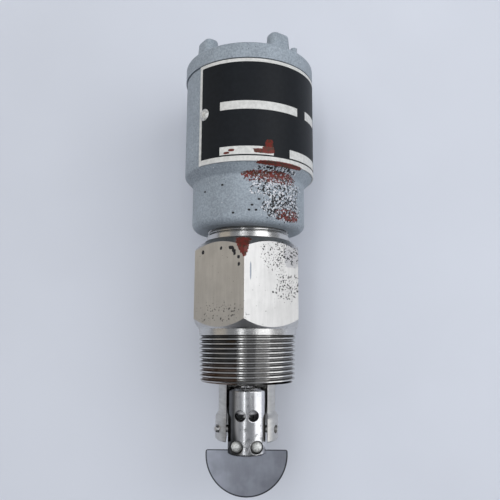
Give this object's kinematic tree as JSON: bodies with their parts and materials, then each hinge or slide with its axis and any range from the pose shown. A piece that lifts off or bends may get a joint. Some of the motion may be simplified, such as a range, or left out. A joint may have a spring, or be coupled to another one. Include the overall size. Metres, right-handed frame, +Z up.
{
  "type": "paddle flow switch",
  "caption": "Paddle flow switch: a hexagonal stainless body with a taper pipe thread, a hinged vane below and a round painted housing with a screw cap above.",
  "frame": {"origin": "centre of the process thread's large end, where the body meets the pipe fitting", "axes": "+Z up the body through the cap, the vane hangs towards -Z; -Y faces the nameplate's reader; +X is to that reader's right"},
  "size_m": [0.068, 0.074, 0.2271],
  "materials": {
    "housing_paint": "satin blue-grey enamel on a casting",
    "stainless_body": "turned and brushed stainless bar",
    "polished_stainless": "polished stainless",
    "vane_sheet": "dull rolled stainless sheet",
    "nameplate": "black printed sheet with a bare border",
    "fastener_steel": "plated screw",
    "rubber_seal": "black nitrile",
    "brass": "bare turned brass",
    "magnet": "sintered magnet",
    "slug_steel": "bright plated iron",
    "bracket_steel": "zinc plated sheet",
    "case_plastic": "moulded phenolic",
    "plunger_plastic": "red moulded plastic",
    "ground_green": "green ground screw"
  },
  "bodies": {
    "body": {"switch_body": "stainless_body", "housing": "housing_paint", "nameplate": "nameplate", "nameplate_screws": "fastener_steel", "guide_bush": "brass", "switch_bracket": "bracket_steel", "bracket_screws": "fastener_steel", "switch_case": "case_plastic", "switch_terminals": "brass", "terminal_screws": "fastener_steel", "switch_screws": "fastener_steel", "lever_pin": "fastener_steel", "ground_screw": "ground_green", "vane_pin": "fastener_steel"},
    "vane_assembly": {"vane_arm": "polished_stainless", "keeper_slug": "slug_steel", "vane": "vane_sheet", "vane_screws": "fastener_steel"},
    "rod_assembly": {"magnet_rod": "fastener_steel", "drive_magnet": "magnet", "rod_nut": "fastener_steel"},
    "lever_assembly": {"trip_lever": "bracket_steel", "lever_adjuster": "brass", "adjuster_nut": "brass"},
    "plunger": {"switch_plunger": "plunger_plastic"},
    "cap_seal": {"cap_o_ring": "rubber_seal"},
    "cap_assembly": {"cap": "housing_paint", "cap_set_screw": "fastener_steel"}
  },
  "joints": [
    {"name": "vane_swing", "type": "hinge", "parent": "body", "child": "vane_assembly", "pos_m": [0, -0.0064, -0.045], "axis": [1, 0, 0], "range_deg": [0, 25], "stiffness_Nm_per_rad": 0.03, "springref_deg": -17.19},
    {"name": "rod_lift", "type": "slide", "parent": "body", "child": "rod_assembly", "axis": [0, 0, 1], "range_m": [0, 0.002]},
    {"name": "lever_tilt", "type": "hinge", "parent": "body", "child": "lever_assembly", "pos_m": [-0.008, 0, 0.0676], "axis": [0, -1, 0], "range_deg": [0, 14.5]},
    {"name": "plunger_travel", "type": "slide", "parent": "body", "child": "plunger", "axis": [0, 0, -1], "range_m": [0, 0.0015]},
    {"name": "cap_rise", "type": "slide", "parent": "body", "child": "cap_seal", "axis": [0, 0, 1], "range_m": [0, 0.01275]},
    {"name": "cap_turn", "type": "hinge", "parent": "cap_seal", "child": "cap_assembly", "pos_m": [0, 0, 0.136], "axis": [0, 0, 1], "range_deg": [0, 2160]}
  ],
  "couplings": [
    {"joint": "rod_lift", "follows": "vane_swing", "m_per_rad": 0.00458},
    {"joint": "lever_tilt", "follows": "vane_swing", "ratio": 0.576},
    {"joint": "plunger_travel", "follows": "vane_swing", "m_per_rad": 0.0034},
    {"joint": "cap_rise", "follows": "cap_turn", "m_per_rad": 0.00033688}
  ]
}
